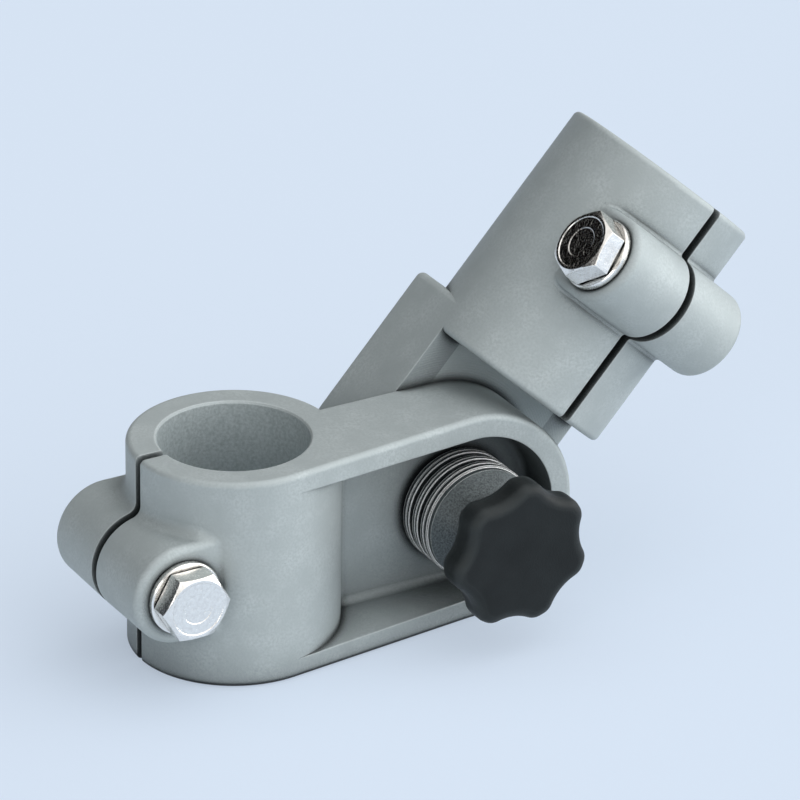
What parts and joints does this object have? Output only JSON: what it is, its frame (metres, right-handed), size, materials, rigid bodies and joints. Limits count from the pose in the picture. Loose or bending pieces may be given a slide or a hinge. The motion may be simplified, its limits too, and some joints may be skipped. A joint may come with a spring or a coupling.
{
  "type": "profile pivot joint",
  "caption": "Pivot joint for round tubes: a cross clamp and an in-line clamp hinged at their arms, held by disc springs and a star knob.",
  "frame": {"origin": "centre of the lower clamp's bore, halfway along it, on the axis of its tube", "axes": "+Z along the lower tube, +X towards the pivot, the pivot axis parallel to Y, and the knob on the -Y side"},
  "size_m": [0.1908, 0.076, 0.1234],
  "materials": {
    "casting": "tumbled die casting, fine grain",
    "bolt_steel": "bright zinc plated",
    "stack_steel": "hardened, bright edges",
    "turned_steel": "turned, zinc plated",
    "insert": "turned",
    "knob": "moulded, fine matt grain"
  },
  "bodies": {
    "lower_clamp": {"lower_clamp_body": "casting", "lower_bolt_washer": "bolt_steel", "lower_clamp_bolt": "bolt_steel", "lower_clamp_nut": "bolt_steel", "spring_seat_washer": "stack_steel", "disc_spring_1": "stack_steel", "disc_spring_2": "stack_steel", "disc_spring_3": "stack_steel", "disc_spring_4": "stack_steel", "thrust_washer": "stack_steel", "pressure_collar": "turned_steel"},
    "upper_clamp": {"upper_clamp_body": "casting", "upper_bolt_washer": "bolt_steel", "upper_clamp_bolt": "bolt_steel", "upper_clamp_nut": "bolt_steel", "pivot_bolt": "bolt_steel"},
    "knob": {"knob_body": "knob", "knob_insert": "insert"}
  },
  "joints": [
    {"name": "pivot", "type": "hinge", "parent": "lower_clamp", "child": "upper_clamp", "pos_m": [0.0605, 0, 0], "axis": [0, -1, 0], "range_deg": [-137.5, 42.5]},
    {"name": "knob_turn", "type": "hinge", "parent": "upper_clamp", "child": "knob", "pos_m": [0.0605, -0.035, 0], "axis": [0, -1, 0], "continuous": true}
  ]
}
